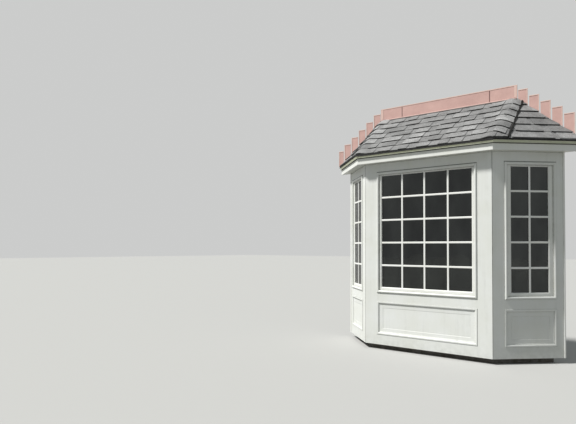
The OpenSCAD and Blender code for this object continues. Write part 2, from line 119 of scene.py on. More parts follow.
# Weather and shade: painted shade from ambient occlusion darkens corners, creases and recesses with the dirt
# colour; real dirt runs thinly down the face, and soil is splashed on the lowest part.
weather_and_shade, given, out = effect(
    "Weather_and_shade",
    {"Colour": (0.8, 0.8, 0.8, 1), "Dirt": (0.2, 0.18, 0.15, 1), "Corners": 0.6, "Runs": 0.3, "Splash": 0.3},
    {"Colour": "Color"},
)
wide_corner, tight_corner = 0.022, 0.006
splash_low, splash_high = 0.05, 0.34
patchy = spread(weather_and_shade, grain_of(weather_and_shade, 14), 0.3, 0.65)
wide_shade = put(weather_and_shade, "AmbientOcclusion", {"Distance": wide_corner}, samples=6).outputs["AO"]
tight_shade = put(weather_and_shade, "AmbientOcclusion", {"Distance": tight_corner}, samples=6).outputs["AO"]
# Painted shade: the two ambient occlusion masks darken the surface in corners and recesses, where shade
# falls.
wide_corner_shade = spread(weather_and_shade, wide_shade, 0.85, 0.35)
wide_corner_shade = reckon(weather_and_shade, wide_corner_shade, spread(weather_and_shade, patchy, 0, 1, 0.2, 0.6))
tight_corner_shade = spread(weather_and_shade, tight_shade, 0.88, 0.5)
tight_corner_shade = reckon(weather_and_shade, tight_corner_shade, spread(weather_and_shade, patchy, 0, 1, 0.85, 1.3))
corners = reckon(weather_and_shade, reckon(weather_and_shade, wide_corner_shade, tight_corner_shade, "MAXIMUM"), given["Corners"])
runs = spread(weather_and_shade, grain_of(weather_and_shade, 1.0, 6, 0.62, (19, 19, 1.3)), 0.5, 0.85)
runs = reckon(weather_and_shade, reckon(weather_and_shade, runs, patchy), given["Runs"])
near_ground = spread(weather_and_shade, place_along(weather_and_shade, 2), splash_high, splash_low)
drops = spread(weather_and_shade, grain_of(weather_and_shade, 17, 6), 0.35, 0.75)
splash = reckon(weather_and_shade, reckon(weather_and_shade, near_ground, 2.0, "POWER"), drops)
splash = reckon(weather_and_shade, splash, given["Splash"])
dirt_and_shade = reckon(weather_and_shade, corners, runs, "ADD")
dirt_and_shade = put(weather_and_shade, "Math", {0: dirt_and_shade, 1: splash}, operation="ADD", use_clamp=True).outputs[0]
weather_and_shade.links.new(tint(weather_and_shade, dirt_and_shade, given["Colour"], given["Dirt"]), out["Colour"])

# Mottle: cloudy patches with a finer speckle in them, as on a cast or trowelled face.
mottle, given, out = effect(
    "Mottle",
    {"Colour": (0.5, 0.5, 0.5, 1), "Patches": (0.4, 0.4, 0.4, 1), "Size": 6.0, "Speckle": 0.3},
    {"Colour": "Color"},
)
speckle_finer = 38.0
place = object_place(mottle)
cloud = put(mottle, "TexNoise", {"Vector": place, "Scale": given["Size"], "Detail": 6.0, "Roughness": 0.6})
speckle_scale = reckon(mottle, given["Size"], speckle_finer)
fine = put(mottle, "TexNoise", {"Vector": place, "Scale": speckle_scale, "Detail": 3.0})
body = tint(mottle, spread(mottle, cloud.outputs[0], 0.32, 0.68), given["Colour"], given["Patches"])
grit = reckon(mottle, spread(mottle, fine.outputs[0], 0.25, 0.75, -1.0, 1.0), given["Speckle"])
grit = reckon(mottle, grit, 1.0, "ADD")
mottle.links.new(tint(mottle, 1.0, body, grey(mottle, grit), "MULTIPLY"), out["Colour"])


def mottled(tree, colour, patches, size, speckle):
    return group_in(tree, mottle, Colour=colour, Patches=patches, Size=size, Speckle=speckle)[0]


# Mixes in the dirt colour for real dirt runs and splashes, and as painted shade in corners and recesses.
def weathered_and_shaded(tree, colour, dirt_and_shade, corners, runs, splash):
    return group_in(tree, weather_and_shade, Colour=colour, Dirt=dirt_and_shade, Corners=corners, Runs=runs, Splash=splash)[0]


def uneven(low, high, scale, detail=4.0):
    """A roughness that wanders between two values."""
    return lambda tree: vary(tree, grain_of(tree, scale, detail), low, high)


def bumps(scale, detail):
    """A height made of one noise."""
    return lambda tree: grain_of(tree, scale, detail)


def surface(name, colour, rough, height, lift=0.001, soft=0.0015, **shader):
    """A material from a varying colour, roughness and height, with its sharp edges eased by a soft radius."""
    material = bpy.data.materials.new(name)
    material.use_nodes = True
    tree = material.node_tree
    shader_node = tree.nodes["Principled BSDF"]
    for label, value in shader.items():
        shader_node.inputs[label.replace("_", " ")].default_value = value
    tree.links.new(colour(tree), shader_node.inputs["Base Color"])
    tree.links.new(rough(tree), shader_node.inputs["Roughness"])
    eased = put(tree, "Bevel", {"Radius": soft}, samples=4).outputs[0]
    raised = {"Height": height(tree), "Distance": lift, "Strength": 1.0, "Normal": eased}
    tree.links.new(put(tree, "Bump", raised).outputs[0], shader_node.inputs["Normal"])
    return material


def finish_with(material, *names):
    for name in names:
        node[name].material_slots[0].material = material


def cast_colour(tree):
    body = mottled(tree, (0.27, 0.255, 0.235, 1), (0.19, 0.18, 0.165, 1), 5.0, 0.22)
    return weathered_and_shaded(tree, body, (0.10, 0.085, 0.06, 1), 0.5, 0.3, 0.9)


concrete = surface("Cast concrete", cast_colour, uneven(0.78, 0.95, 30), bumps(90, 6), 0.002)
finish_with(concrete, "plinth")

# ---- Floor platform and boards ---------------------------------------------------------------------------
# Joists under a softwood platform carry tongued floor boards 83 mm wide, laid along the front.
# The boards are sanded and oiled, each a little lighter or darker than the next, with eased long edges.

# Timber: long wavy growth lines along X, Y or Z, with a wash of colour and finer pores.
timber_grain, given, out = effect(
    "Timber grain",
    {"Early wood": (0.5, 0.35, 0.2, 1), "Late wood": (0.35, 0.22, 0.12, 1), "Along X": 0.0, "Along Y": 0.0},
    {"Colour": "Color", "Height": "Float"},
)
across, lengthwise = 1.0, 0.06
x, y, z = (place_along(timber_grain, axis) for axis in (0, 1, 2))
long_x = reckon(timber_grain, x, spread(timber_grain, given["Along X"], 0, 1, across, lengthwise))
long_y = reckon(timber_grain, y, spread(timber_grain, given["Along Y"], 0, 1, across, lengthwise))
level = reckon(timber_grain, given["Along X"], given["Along Y"], "ADD")
long_z = reckon(timber_grain, z, spread(timber_grain, level, 0, 1, lengthwise, across))
place = put(timber_grain, "CombineXYZ", {0: long_x, 1: long_y, 2: long_z}).outputs[0]
rings = {"Vector": place, "Scale": 26.0, "Detail": 5.0, "Distortion": 0.6}
rings = reckon(timber_grain, put(timber_grain, "TexNoise", rings).outputs[0], 9.0)
rings = reckon(timber_grain, rings, 1.0, "FRACT")
pores = put(timber_grain, "TexNoise", {"Vector": place, "Scale": 240.0, "Detail": 3.0}).outputs[0]
wash = put(timber_grain, "TexNoise", {"Vector": place, "Scale": 5.0, "Detail": 2.0}).outputs[0]
lines = spread(timber_grain, rings, 0.1, 0.95)
lines = reckon(timber_grain, lines, spread(timber_grain, pores, 0.3, 0.6, 0.6, 1.0))
lines = reckon(timber_grain, lines, vary(timber_grain, wash, 0.35, 1.0))
timber_grain.links.new(tint(timber_grain, lines, given["Early wood"], given["Late wood"]), out["Colour"])
timber_grain.links.new(reckon(timber_grain, pores, lines, "SUBTRACT"), out["Height"])


def timber_colour(tree, early, late, along_x=1.0, along_y=0.0):
    lies = {"Along_X": along_x, "Along_Y": along_y}
    return group_in(tree, timber_grain, Early_wood=early, Late_wood=late, **lies)["Colour"]


def timber_lines(along_x=1.0, along_y=0.0):
    return lambda tree: group_in(tree, timber_grain, Along_X=along_x, Along_Y=along_y)["Height"]


def sawn(name, along_x, along_y):
    def whole(tree):
        grain = timber_colour(tree, (0.56, 0.40, 0.235, 1), (0.40, 0.26, 0.14, 1), along_x, along_y)
        return weathered_and_shaded(tree, grain, (0.14, 0.11, 0.08, 1), 0.45, 0.15, 0.2)

    return surface(name, whole, uneven(0.65, 0.85, 22), timber_lines(along_x, along_y), 0.0008)


framing_level = sawn("Sawn framing, along the front", 1.0, 0.0)
framing_deep = sawn("Sawn framing, front to back", 0.0, 1.0)
finish_with(framing_level, "floor_platform")

board_wide, board_gap, board_rows, board_ease = 0.0832, 0.0012, 7, 0.0012
cant_slope = 0.7071


def board_tone(tree, row, low, high):
    """A tone of its own for each board, by the number of its row."""
    number = reckon(tree, row, 0.0, "FLOOR")
    tone = put(tree, "TexWhiteNoise", {"W": number}, noise_dimensions="1D").outputs["Value"]
    return spread(tree, tone, 0, 1, low, high)


def oiled_colour(tree):
    row = reckon(tree, place_along(tree, 1), board_wide, "DIVIDE")
    grain = timber_colour(tree, (0.32, 0.17, 0.075, 1), (0.19, 0.09, 0.035, 1))
    return tint(tree, 1.0, grain, grey(tree, board_tone(tree, row, 0.72, 1.12)), "MULTIPLY")


oiled = surface("Oiled floor boards", oiled_colour, uneven(0.32, 0.5, 12), timber_lines(), 0.0004)


def only(*chosen):
    """Nothing else is selected, and the last of these is the one worked on."""
    bpy.ops.object.select_all(action="DESELECT")
    for each in chosen:
        each.select_set(True)
    bpy.context.view_layer.objects.active = chosen[-1]


def block(name, low, high):
    """A cube between two corners, with its place in its mesh, ready to be shaped."""
    bpy.ops.object.select_all(action="DESELECT")
    low, high = Vector(low), Vector(high)
    bpy.ops.mesh.primitive_cube_add(size=1, location=(low + high) / 2)
    made = bpy.context.object
    made.name = made.data.name = name
    made.scale = high - low
    bpy.ops.object.transform_apply(location=True, rotation=True, scale=True)
    return made


def ease(piece, test, width, steps):
    """Bevels those sharp edges of a piece whose two ends pass a test."""
    only(piece)
    bpy.ops.object.mode_set(mode="EDIT")
    bpy.ops.mesh.select_mode(type="EDGE")
    bpy.ops.mesh.select_all(action="DESELECT")
    bpy.ops.mesh.edges_select_sharp(sharpness=math.radians(20))
    bpy.ops.object.mode_set(mode="OBJECT")
    mesh = piece.data
    for part in (*mesh.polygons, *mesh.vertices):
        part.select = False
    for edge in mesh.edges:
        edge.select = edge.select and test(*(mesh.vertices[k].co for k in edge.vertices))
    bpy.ops.object.mode_set(mode="EDIT")
    bpy.ops.mesh.bevel(offset=width, segments=steps)
    bpy.ops.object.mode_set(mode="OBJECT")


def cut(piece, point, away, drop=True):
    """Cuts a piece by a plane, and unless told otherwise drops the away side and closes the cut."""
    only(piece)
    bpy.ops.object.mode_set(mode="EDIT")
    bpy.ops.mesh.select_all(action="SELECT")
    bpy.ops.mesh.bisect(plane_co=point, plane_no=away, clear_outer=drop, use_fill=drop)
    bpy.ops.object.mode_set(mode="OBJECT")


def belongs(piece, slot, material, *stands_for):
    """Gives a piece its finish, lets it ride with the bay, and says which solids it stands for."""
    piece.data.materials.clear()
    piece.data.materials.append(material)
    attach(piece, "root")
    if stands_for:
        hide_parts(*stands_for)


def cant_out(side):
    """The direction square to a side face of the bay, outwards: 45 degrees from the front."""
    return Vector((side * cant_slope, -cant_slope, 0))


low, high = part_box("floor_boards")
planks = block("floor_planks", low, (high.x, low.y + board_wide - board_gap, high.z))
ease(planks, lambda a, b: min(a.z, b.z) > high.z - 1e-4 and abs(a.y - b.y) < 1e-4, board_ease, 2)
rows = planks.modifiers.new("rows", "ARRAY")
rows.count = board_rows
rows.use_relative_offset = False
rows.use_constant_offset = True
rows.constant_offset_displace = (0, board_wide, 0)
only(planks)
bpy.ops.object.modifier_apply(modifier="rows")
cut(planks, (0, high.y, 0), (0, 1, 0))
for side in (1, -1):
    cut(planks, (side * high.x, 0, 0), cant_out(side))
belongs(planks, "floor", oiled, "floor_boards")

# ---- Walls and ceiling -----------------------------------------------------------------------------------
# Framed walls stand behind the boards, plastered inside and painted matt white, and the ceiling is the same.
# Roller stipple shows close up, and the paint has yellowed slightly in patches.


def plaster_colour(tree):
    body = mottled(tree, (0.69, 0.67, 0.615, 1), (0.63, 0.605, 0.545, 1), 1.8, 0.03)
    return weathered_and_shaded(tree, body, (0.33, 0.30, 0.25, 1), 0.35, 0.05, 0.0)


plaster = surface("Painted plaster", plaster_colour, uneven(0.72, 0.88, 9), bumps(260, 2), 0.0006)
finish_with(plaster, "wall_front", "wall_left", "wall_right", "ceiling")

# ---- Painted boards --------------------------------------------------------------------------------------
# Wide flat boards cover the walls: corner and end boards upright, skirt, middle rails and frieze level.
# Planed softwood under many coats of white oil paint, brushed lengthwise, with painted shade greying the
# joints.

white = (0.80, 0.815, 0.79, 1)
paint_dirt_and_shade = (0.145, 0.15, 0.125, 1)

# Brush marks: fine ridges along the board, and the wood's grain just showing through the paint.
brush, given, out = effect(
    "Brush marks",
    {"Colour": (0.8, 0.8, 0.8, 1), "Level": 0.0},
    {"Colour": "Color", "Roughness": "Float", "Height": "Float"},
)


def streaks(detail, upright, level):
    """Noise drawn out up the piece, or along it where the board lies level."""
    noises = [grain_of(brush, 1.0, detail, stretch=stretch) for stretch in (upright, level)]
    return put(brush, "Mix", {0: given["Level"], 2: noises[0], 3: noises[1]}, data_type="FLOAT").outputs[0]


marks = streaks(3, (260, 260, 7), (6, 6, 260))
telegraph = streaks(5, (55, 55, 1.6), (1.6, 1.6, 55))
blotches = grain_of(brush, 3.4, 5)
tone = reckon(brush, vary(brush, blotches, 0.955, 1.02), vary(brush, telegraph, 0.993, 1.005))
warmer = reckon(brush, tone, vary(brush, blotches, 0.97, 1.01))
coat = put(brush, "CombineColor", {0: tone, 1: tone, 2: warmer}).outputs[0]
brush.links.new(tint(brush, 1.0, given["Colour"], coat, "MULTIPLY"), out["Colour"])
rough = reckon(brush, vary(brush, blotches, 0.34, 0.52), vary(brush, marks, -0.05, 0.05), "ADD")
brush.links.new(rough, out["Roughness"])
brush.links.new(reckon(brush, marks, reckon(brush, telegraph, 0.35), "ADD"), out["Height"])
brushed_up, brushed_level = 0.0, 1.0


# Each painted finish carries painted shade in its corners and recesses, as much as corners says, besides real
# dirt.
def painted(name, level, colour=white, corners=0.8, runs=0.16, splash=0.22, lift=0.00015):
    def whole(tree):
        coat = group_in(tree, brush, Colour=colour, Level=level)["Colour"]
        return weathered_and_shaded(tree, coat, paint_dirt_and_shade, corners, runs, splash)

    def brushed(output):
        return lambda tree: group_in(tree, brush, Level=level)[output]

    return surface(name, whole, brushed("Roughness"), brushed("Height"), lift, soft=0.002)


paint_up = painted("White paint, brushed upright", brushed_up)
paint_level = painted("White paint, brushed level", brushed_level)
finish_with(paint_up, "corner_board_left", "corner_board_right", "end_board_left", "end_board_right")
finish_with(paint_level, "skirt_boards", "middle_rails", "frieze_boards")

# ---- Panels and their mouldings --------------------------------------------------------------------------
# A flat painted panel fills each opening under a window, held by a mitred moulding with a quarter round.
# The panel shrinks and swells in its groove; its edge under the moulding is darkest, by painted shade in the
# recess.

paint_panel = painted("White paint, panels", brushed_up, corners=0.85, runs=0.2, splash=0.3)
finish_with(paint_panel, "panel_front", "panel_left", "panel_right")
finish_with(paint_level, "panel_moulding_front", "panel_moulding_left", "panel_moulding_right")

# ---- Scribed edge strips ---------------------------------------------------------------------------------
# A slim quarter-round strip closes the back edge of each end board, pinned through and painted over.
# It is scribed to fit close, so its back is cut square, and its outer edge is round.

strip_wide, strip_proud, strip_round = 0.017, 0.010, 0.0095
corner_x, back_x, front_y = 0.795, 1.385, -0.590
face_long = (back_x - corner_x) * math.sqrt(2)


def to_its_side(piece, side):
    """Leaves a piece made for the right side there, or mirrors it over to the left."""
    if side < 0:
        piece.data.transform(Matrix.Scale(-1, 4, (1, 0, 0)))
        piece.data.flip_normals()


def onto_side(piece, side):
    """Turns a piece made as if the right side face lay along X from the corner, and places it there."""
    turn = Matrix.Translation((corner_x, front_y, 0)) @ Matrix.Rotation(math.radians(45), 4, "Z")
    piece.data.transform(turn)
    to_its_side(piece, side)


clean_white = (0.88, 0.885, 0.86, 1)
paint_strip = painted("White paint, edge strips", brushed_up, clean_white, 0.1, runs=0.05, splash=0.15)
low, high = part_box("end_board_right")
strip_near = face_long - strip_wide
for side, name in ((1, "edge_strip_right"), (-1, "edge_strip_left")):
    strip = block(name, (strip_near, -strip_proud, low.z), (face_long, 0, high.z))
    ease(strip, lambda a, b: max(a.x, b.x) < strip_near + 1e-4 and max(a.y, b.y) < -0.004, strip_round, 4)
    onto_side(strip, side)
    belongs(strip, "paint", paint_strip)

# ---- Window frames, sashes and casings -------------------------------------------------------------------
# Each opening has a deep frame, a fixed sash set just behind its face, and a half-round casing all round.
# All are planed softwood, painted with the boards; inside, flat casings hide the joint with the plaster.

sash_white = (0.83, 0.84, 0.81, 1)
paint_sash = painted("White paint, sashes", brushed_up, sash_white, corners=0.8, runs=0.1, splash=0.0)
for where in ("front", "left", "right"):
    finish_with(paint_sash, "window_frame_" + where, "sash_" + where)
    finish_with(paint_up, "casing_" + where, "inner_casing_" + where)

# ---- Head joints -----------------------------------------------------------------------------------------
# Over each head casing runs a near-black bead in the corner between casing and frieze board.
# Its colour is painted shadow, standing in for the dark shade line above the casing.

bead_proud, bead_deep, bead_down, bead_up, bead_round = 0.0035, 0.001, 0.001, 0.006, 0.003
side_middle = 0.4382


def shadow_line_colour(tree):
    return mottled(tree, (0.035, 0.036, 0.034, 1), (0.065, 0.063, 0.055, 1), 11.0, 0.2)


def onto_face(piece, where):
    """Places a piece made about x = 0, as if its face lay on y = 0, over the middle of the face it is for."""
    if where == "front":
        piece.data.transform(Matrix.Translation((0, front_y, 0)))
    else:
        piece.data.transform(Matrix.Translation((side_middle, 0, 0)))
        onto_side(piece, 1 if where == "right" else -1)


# Near-black material for painted shadow lines, used at the head casings and under the drip edge.
shadow_line = surface("Painted shadow line", shadow_line_colour, uneven(0.5, 0.75, 24), bumps(45, 3), 0.0006)
unit_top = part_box("casing_front")[1].z
for where, half_wide in (("front", 0.628), ("left", 0.3012), ("right", 0.3012)):
    low = (-half_wide, -bead_proud, unit_top - bead_down)
    bead = block("head_joint_" + where, low, (half_wide, bead_deep, unit_top + bead_up))
    ease(bead, lambda a, b: max(a.y, b.y) < -0.003, bead_round, 3)
    onto_face(bead, where)
    belongs(bead, "paint", shadow_line)

# ---- Glass -----------------------------------------------------------------------------------------------
# One sheet of glass 4 mm thick stands in each sash. The real glass is clear; here it is tinted near black as
# painted shade for the dark room behind it. It mirrors whatever is bright, and drawn glass is never quite
# flat, so what it mirrors wavers.

glass = bpy.data.materials.new("Window glass")
glass.use_nodes = True
tree = glass.node_tree
shine = tree.nodes["Principled BSDF"]
for label, value in (("Transmission Weight", 1.0), ("IOR", 1.45), ("Metallic", 0.0)):
    shine.inputs[label].default_value = value
film = spread(tree, grain_of(tree, 3.5, 4, stretch=(1, 1, 0.5)), 0.35, 0.7)
dust = spread(tree, grain_of(tree, 40, 5), 0.35, 0.7)
# Painted shade: the glass colour is near black, standing in for the dark room seen through it.
dark = tint(tree, film, (0.010, 0.012, 0.012, 1), (0.030, 0.034, 0.032, 1))
tree.links.new(dark, shine.inputs["Base Color"])
tree.links.new(spread(tree, reckon(tree, film, dust), 0.0, 1.0, 0.015, 0.09), shine.inputs["Roughness"])
waves = grain_of(tree, 5, 1, stretch=(1, 1, 0.6))
waver = put(tree, "Bump", {"Height": waves, "Distance": 0.004, "Strength": 0.6}).outputs[0]
tree.links.new(waver, shine.inputs["Normal"])
finish_with(glass, "glass_front", "glass_left", "glass_right")

# ---- Glazing bars ----------------------------------------------------------------------------------------
# White bars 22 mm wide divide each sheet into panes: four by five in front, two by five at the sides.
# An outer lattice lies on the glass and an inner one behind it, both of one moulded stick, painted.

bar_wide, bar_round, panes_up = 0.022, 0.0035, 5
outer_face, glass_face, glass_back, inner_face = 0.014, 0.024, 0.028, 0.042
daylight_low, daylight_high = 0.776, 2.160
bar_white = (0.90, 0.905, 0.88, 1)
paint_bars = painted("White paint, glazing bars", brushed_level, bar_white, corners=0.3, runs=0.0, splash=0.0)


def joined(name, pieces):
    only(*pieces)
    bpy.ops.object.join()
    whole = bpy.context.object
    whole.name = whole.data.name = name
    return whole


def lattice(half_wide, panes_across, near, far):
    """Bars as a grid of panes, each pane inset and removed, and what is left drawn out to its thickness."""
    bpy.ops.object.select_all(action="DESELECT")
    bpy.ops.mesh.primitive_grid_add(x_subdivisions=panes_across, y_subdivisions=panes_up, size=1)
    bars = bpy.context.object
    bars.scale = (2 * half_wide + bar_wide, daylight_high - daylight_low + bar_wide, 1)
    bars.rotation_euler = (math.radians(90), 0, 0)
    bars.location = (0, far, (daylight_low + daylight_high) / 2)
    bpy.ops.object.transform_apply(location=True, rotation=True, scale=True)
    bpy.ops.object.mode_set(mode="EDIT")
    bpy.ops.mesh.select_mode(type="FACE")
    bpy.ops.mesh.select_all(action="SELECT")
    bpy.ops.mesh.inset(thickness=bar_wide / 2, use_individual=True, use_even_offset=True)
    bpy.ops.mesh.delete(type="FACE")
    bpy.ops.mesh.select_all(action="SELECT")
    bpy.ops.mesh.remove_doubles(threshold=1e-5)
    bpy.ops.mesh.extrude_region_move(TRANSFORM_OT_translate={"value": (0, near - far, 0)})
    bpy.ops.mesh.select_all(action="SELECT")
    bpy.ops.mesh.normals_make_consistent(inside=False)
    bpy.ops.object.mode_set(mode="OBJECT")
    ease(bars, lambda a, b: max(abs(a.y - near), abs(b.y - near)) < 1e-5, bar_round, 2)
    return bars


for where, half_wide, panes_across in (("front", 0.566, 4), ("left", 0.216, 2), ("right", 0.216, 2)):
    outer = lattice(half_wide, panes_across, outer_face, glass_face)
    inner = lattice(half_wide, panes_across, inner_face, glass_back)
    bars = joined("glazing_bars_" + where, [inner, outer])
    onto_face(bars, where)
    belongs(bars, "paint", paint_bars)

# ---- Roof frame and boarding -----------------------------------------------------------------------------
# Rafters run from the plate to a ledger at the back, with a hip rafter at each corner, under inch boards.
# All is sawn softwood, unseen from outside and dusty; the roof boards carry painted shade where they meet.

finish_with(framing_level, "top_plate", "ledger")
finish_with(framing_deep, "rafters")
roof_board = 0.089


def boarded_colour(tree):
    row = reckon(tree, place_along(tree, 2), roof_board, "DIVIDE")
    off_middle = reckon(tree, reckon(tree, row, 0.0, "FRACT"), 0.5, "SUBTRACT")
    # Painted shade: a dark line where each board meets the next, standing in for the shade in the crack.
    gap = spread(tree, reckon(tree, off_middle, 0.0, "ABSOLUTE"), 0.47, 0.495, 1.0, 0.25)
    tone = reckon(tree, board_tone(tree, row, 0.75, 1.1), gap)
    grain = timber_colour(tree, (0.55, 0.42, 0.26, 1), (0.38, 0.27, 0.15, 1))
    return tint(tree, 1.0, grain, grey(tree, tone), "MULTIPLY")


boarding = surface("Roof boards", boarded_colour, uneven(0.75, 0.92, 16), timber_lines(), 0.001)
finish_with(boarding, "roof_boarding")

# ---- Soffit, fascia and drip edge ------------------------------------------------------------------------
# A painted fascia board closes the rafter tails, with a thin soffit board below. Over it hangs a metal drip
# edge: a light green sheet tucked up behind the shingles, with a flat lip that throws the water clear.

fascia_white, soffit_white = (0.84, 0.85, 0.82, 1), (0.74, 0.75, 0.69, 1)
drip_green = (0.85, 0.87, 0.70, 1)
paint_fascia = painted("White paint, fascia", brushed_level, fascia_white, 1.0, runs=0.12, splash=0.0)
paint_soffit = painted("White paint, soffit", brushed_level, soffit_white, 0.7, runs=0.0, splash=0.0)
paint_drip = painted("Drip edge paint", brushed_level, drip_green, 0.3, 0.12, splash=0.0, lift=0.00008)
finish_with(paint_fascia, "fascia")
finish_with(paint_soffit, "soffit")
finish_with(paint_drip, "drip_edge")

sheet_thick, sheet_round = 0.0013, 0.0005
flange_out, flange_down, front_tuck, side_tuck = 0.1298, 0.007, 0.009, 0.013
lip_out, lip_back, lip_hem = 0.1392, 0.118, 0.0012
past_corner = 0.1
half_turn = math.radians(22.5)
drip_low, drip_high = (corner.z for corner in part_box("drip_edge"))


def drip_run(left, right, tuck):
    """One straight run, as if its face lay on y = 0: a flange tucked up by some height, and a hemmed lip."""
    low = (left, -flange_out - sheet_thick, drip_high - flange_down)
    flange = block("flange", low, (right, -flange_out, drip_high + tuck))
    lip = block("lip", (left, -lip_out, drip_low), (right, -lip_back, drip_low + sheet_thick))
    hem_line = sheet_thick - lip_out
    cut(lip, (0, hem_line, 0), (0, 1, 0), drop=False)
    bpy.ops.object.mode_set(mode="EDIT")
    bpy.ops.mesh.select_mode(type="FACE")
    bpy.ops.mesh.select_all(action="DESELECT")
    bpy.ops.object.mode_set(mode="OBJECT")
    for face in lip.data.polygons:
        face.select = face.normal.z < -0.9 and face.center.y < hem_line
    bpy.ops.object.mode_set(mode="EDIT")
    bpy.ops.mesh.extrude_region_move(TRANSFORM_OT_translate={"value": (0, 0, -lip_hem)})
    bpy.ops.object.mode_set(mode="OBJECT")
    return joined("run", [flange, lip])


def half_front(reach):
    """Half the length of a front run that reaches out so far, to the point of its mitre."""
    return corner_x + reach * math.tan(half_turn)


def round_the_bay(name, front, sides):
    """Places a front and two side runs of a section, mitres them at the corners, ends them at the back."""
    front.data.transform(Matrix.Translation((0, front_y, 0)))
    for side, piece in zip((1, -1), sides):
        onto_side(piece, side)
        corner = Vector((side * corner_x, front_y, 0))
        mitre = Vector((side * math.cos(half_turn), math.sin(half_turn), 0))
        cut(piece, corner, -mitre)
        cut(front, corner, mitre)
        cut(piece, (0, 0, 0), (0, 1, 0))
    return joined(name, [*sides, front])


front_run = drip_run(-half_front(lip_out), half_front(lip_out), front_tuck)
side_runs = [drip_run(-past_corner, face_long + lip_out, side_tuck) for _ in (0, 1)]
drip_sheet = round_the_bay("drip_edge_sheet", front_run, side_runs)
ease(drip_sheet, lambda a, b: abs(a.z - b.z) < 1e-4, sheet_round, 2)
belongs(drip_sheet, "paint", paint_drip)

# A near-black strip runs along the joint between the drip edge and the fascia, in the same material as the
# head joints: painted shadow under the drip edge.
fascia_out = front_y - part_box("fascia")[0].y
joint_out, joint_in, joint_down, joint_up = fascia_out + 0.002, fascia_out - 0.001, 0.009, 0.001


def joint_run(left, right):
    return block("joint", (left, -joint_out, drip_low - joint_down), (right, -joint_in, drip_low + joint_up))


front_run = joint_run(-half_front(joint_out), half_front(joint_out))
side_runs = [joint_run(-past_corner, face_long + fascia_out) for _ in (0, 1)]
fascia_joint = round_the_bay("fascia_joint", front_run, side_runs)
belongs(fascia_joint, "paint", shadow_line)

# ---- Shingles on the side slopes -------------------------------------------------------------------------
# Mineral-faced shingles lie in courses 127 mm apart, each course lapped over the one below and nailed.
# Their cut lower edges stand 7 to 12 mm proud and throw the dark lines that mark the courses.

eave_z, roof_top_z, eave_y, eave_out = 2.437, 3.020, -0.735, 0.145
pitch_front, pitch_side = (roof_top_z - eave_z) / -eave_y, 1.153
hip_foot, hip_head = Vector((0.85506, eave_y, eave_z)), Vector((0.875, 0, roof_top_z))
eave_end = Vector((1.59006, 0, eave_z))
side_along = (eave_end - hip_foot).normalized()
side_lean = pitch_side * math.sqrt(0.5)
side_normal = Vector((side_lean, -side_lean, 1)).normalized()
side_up = side_normal.cross(side_along)
front_normal = Vector((0, -pitch_front, 1)).normalized()
front_up = front_normal.cross(Vector((1, 0, 0)))
slab_deep, back_gap = 0.0093, 0.0022

# Granules: coloured mineral grit pressed in the bitumen, each tab a shade of its own, lichen in faint spots.
granules, given, out = effect(
    "Granules",
    {"Colour": (0.2, 0.2, 0.2, 1), "Tone": 1.0},
    {"Colour": "Color", "Height": "Float"},
)
grit = grain_of(granules, 420, 2, 0.7)
speck = grain_of(granules, 85, 3)
cloud = grain_of(granules, 1.0, 6, stretch=(4, 9, 9))
shade = reckon(granules, spread(granules, grit, 0.25, 0.75, 0.62, 1.4), vary(granules, speck, 0.68, 1.36))
shade = reckon(granules, shade, vary(granules, cloud, 0.72, 1.28))
shade = reckon(granules, shade, given["Tone"])
red = reckon(granules, shade, spread(granules, speck, 0.35, 0.65, 1.04, 0.98))
blue = reckon(granules, shade, 0.985)
shade = put(granules, "CombineColor", {0: red, 1: shade, 2: blue}).outputs[0]
granules.links.new(tint(granules, 1.0, given["Colour"], shade, "MULTIPLY"), out["Colour"])
granules.links.new(reckon(granules, grit, speck, "ADD"), out["Height"])


def shingle_colour(tree):
    tone = put(tree, "Attribute", attribute_name="tone").outputs["Fac"]
    body = group_in(tree, granules, Colour=(0.227, 0.229, 0.233, 1), Tone=tone)["Colour"]
    return weathered_and_shaded(tree, body, (0.035, 0.033, 0.03, 1), 0.35, 0.12, 0.0)


def shingle_grit(tree):
    return group_in(tree, granules)["Height"]


shingle = surface("Mineral shingles", shingle_colour, uneven(0.8, 0.97, 60), shingle_grit, 0.0016, 0.001)

# The starter strip under the first course has softened in the sun, and its edge hangs before the drip edge.
# Near both corners its top follows the front shingles up as they rise to the hips.
starter_out, starter_in, starter_high = 0.1447, 0.1335, 0.010
front_bottom, side_bottom, under_slab = 2.4145, 2.4218, 0.001
rise_start, rise_end, rise_high = 0.705, 0.803, 0.0150
edge_tone = 0.07


def starter_run(left, right, pitch, bottom, rises=False):
    strip = block("starter", (left, -starter_out, bottom), (right, -starter_in, bottom + starter_high))
    for x in (-rise_end, -rise_start, rise_start, rise_end) if rises else ():
        cut(strip, (x, 0, 0), (1, 0, 0), drop=False)
    under = eave_z - slab_deep * math.hypot(1, pitch) + under_slab
    for v in strip.data.vertices:
        if v.co.z > bottom + starter_high / 2:
            along = min(max((abs(v.co.x) - rise_start) / (rise_end - rise_start), 0), 1)
            v.co.z = under + (v.co.y + eave_out) * pitch + (along * rise_high if rises else 0)
    return strip


half = half_front(starter_out)
front_run = starter_run(-half, half, pitch_front, front_bottom, rises=True)
side_runs = [starter_run(-past_corner, face_long + starter_out, pitch_side, side_bottom) for _ in (0, 1)]
starter = round_the_bay("starter_strip_edge", front_run, side_runs)
tones = starter.data.attributes.new("tone", "FLOAT", "FACE")
for each in tones.data:
    each.value = edge_tone
belongs(starter, "shingle", shingle)

# One tab, a wedge that is thin at its upper end and thick at its butt, 1 m each way until it is laid.
tab_flare, tab_corner, flank_tone = 0.005, 0.05, 0.7
tab = block("tab", (0, 0, -1), (1, 1, 0))
ease(tab, lambda a, b: max(a.y, b.y) < 0.01 and abs(a.x - b.x) < 1e-5, tab_corner, 1)
tab_shape = tab.data
bpy.data.objects.remove(tab)


